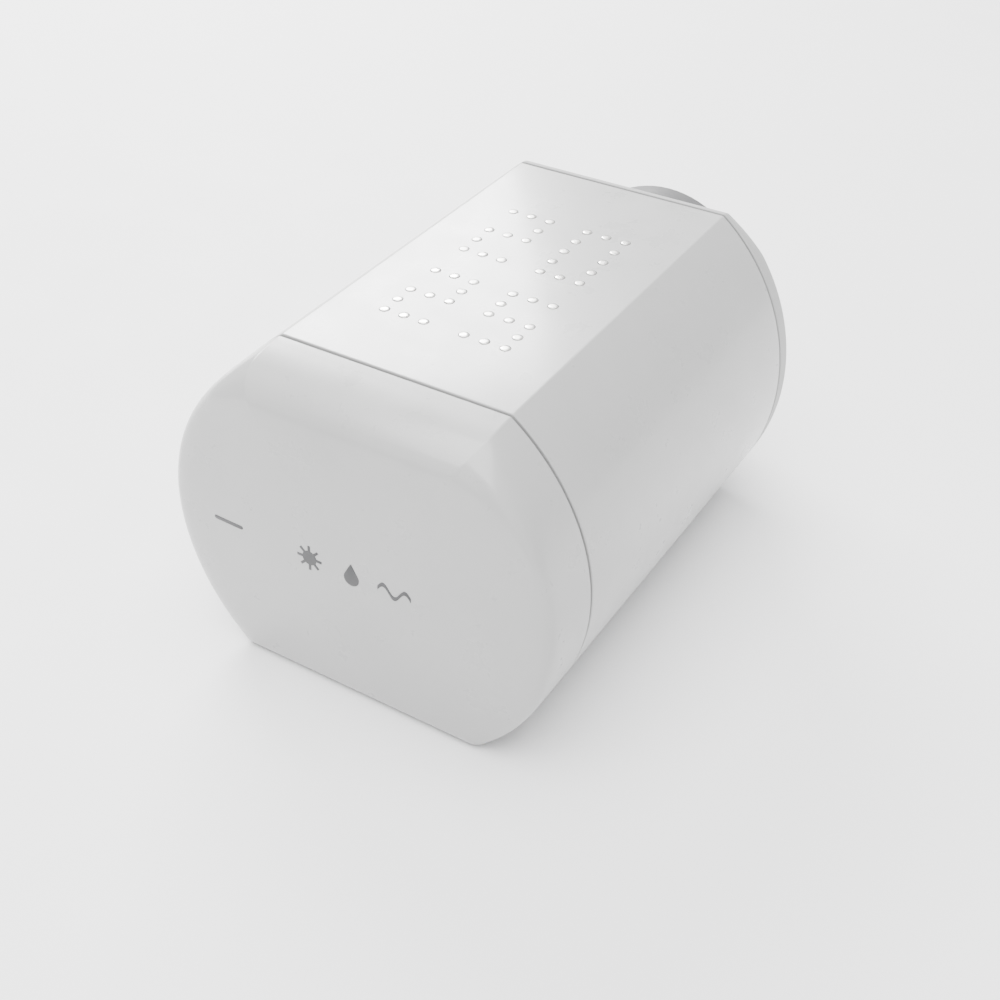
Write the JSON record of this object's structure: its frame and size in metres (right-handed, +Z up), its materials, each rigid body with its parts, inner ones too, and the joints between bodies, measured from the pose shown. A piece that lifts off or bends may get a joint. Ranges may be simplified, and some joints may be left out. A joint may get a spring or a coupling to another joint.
{
  "type": "compact weather station",
  "caption": "Compact barrel-shaped weather station with a flat rain-sensor top, lift-off hood, domed front cap and slide-on wall bracket.",
  "frame": {"origin": "centre of the bracket's back face, on the wall", "axes": "+Z up, -Y out of the wall towards the station's front, +X to the right seen from the front"},
  "size_m": [0.096, 0.1472, 0.079],
  "materials": {
    "white_shell": "satin",
    "white_base": "satin",
    "bracket_grey": "satin",
    "gasket_black": "matte",
    "grommet_rubber": "matte",
    "mark_grey": "matte",
    "pad_nickel": "satin",
    "board_green": "satin",
    "heater_film": "matte",
    "chip_black": "matte",
    "pin_tin": "satin",
    "screw_steel": "satin",
    "terminal_green": "satin",
    "socket_cream": "matte",
    "plug_cream": "matte",
    "ribbon_grey": "matte",
    "can_blue": "satin",
    "core_grey": "matte",
    "winding_copper": "satin",
    "led_red": "gloss",
    "button_black": "matte",
    "lens_clear": "gloss",
    "ceramic_white": "matte",
    "bead_black": "gloss",
    "label_silver": "satin"
  },
  "bodies": {
    "bracket": {"wall_bracket": "bracket_grey"},
    "housing": {"front_cap": "white_shell", "front_gasket": "gasket_black", "rear_gasket": "gasket_black", "mark_sun": "mark_grey", "mark_drop": "mark_grey", "mark_wind": "mark_grey", "mark_dash": "mark_grey", "base_chassis": "white_base", "rear_cover": "white_base", "main_board": "board_green", "terminal_block": "terminal_green", "controller_chip": "chip_black", "controller_pins": "pin_tin", "capacitor_front": "can_blue", "capacitor_rear": "can_blue", "coil_core": "core_grey", "coil_winding": "winding_copper", "button_base": "chip_black", "status_led": "led_red", "rain_socket": "socket_cream", "light_board": "board_green", "light_sensor_front": "lens_clear", "light_sensor_left": "lens_clear", "light_sensor_right": "lens_clear", "light_sensor_carrier": "chip_black", "temperature_sensor": "bead_black", "wind_nozzle": "white_base", "wind_element": "ceramic_white", "wind_holder": "chip_black", "grommet_left": "grommet_rubber", "grommet_right": "grommet_rubber", "rating_label": "label_silver", "cap_screw_1": "screw_steel", "cap_screw_2": "screw_steel", "rear_screw_1": "screw_steel", "rear_screw_2": "screw_steel", "board_screw_1": "screw_steel", "board_screw_2": "screw_steel", "board_screw_3": "screw_steel", "board_screw_4": "screw_steel", "light_board_screw_1": "screw_steel", "light_board_screw_2": "screw_steel", "terminal_screw_1": "screw_steel", "terminal_screw_2": "screw_steel", "terminal_screw_3": "screw_steel", "terminal_screw_4": "screw_steel"},
    "hood": {"hood_shell": "white_shell", "rain_pads": "pad_nickel", "rain_board": "board_green", "board_retainer_front": "white_base", "board_retainer_rear": "white_base", "heater_film": "heater_film", "rain_plug": "plug_cream", "rain_ribbon": "ribbon_grey"},
    "button": {"button_cap": "button_black"}
  },
  "joints": [
    {"name": "housing_slide", "type": "slide", "parent": "bracket", "child": "housing", "axis": [0, 0, 1], "range_m": [0, 0.046]},
    {"name": "hood_lift", "type": "slide", "parent": "housing", "child": "hood", "axis": [0, 0, 1], "range_m": [0, 0.085]},
    {"name": "button_press", "type": "slide", "parent": "housing", "child": "button", "axis": [0, 0, -1], "range_m": [0, 0.0005], "stiffness_N_per_m": 800, "springref_m": -0.0005}
  ]
}
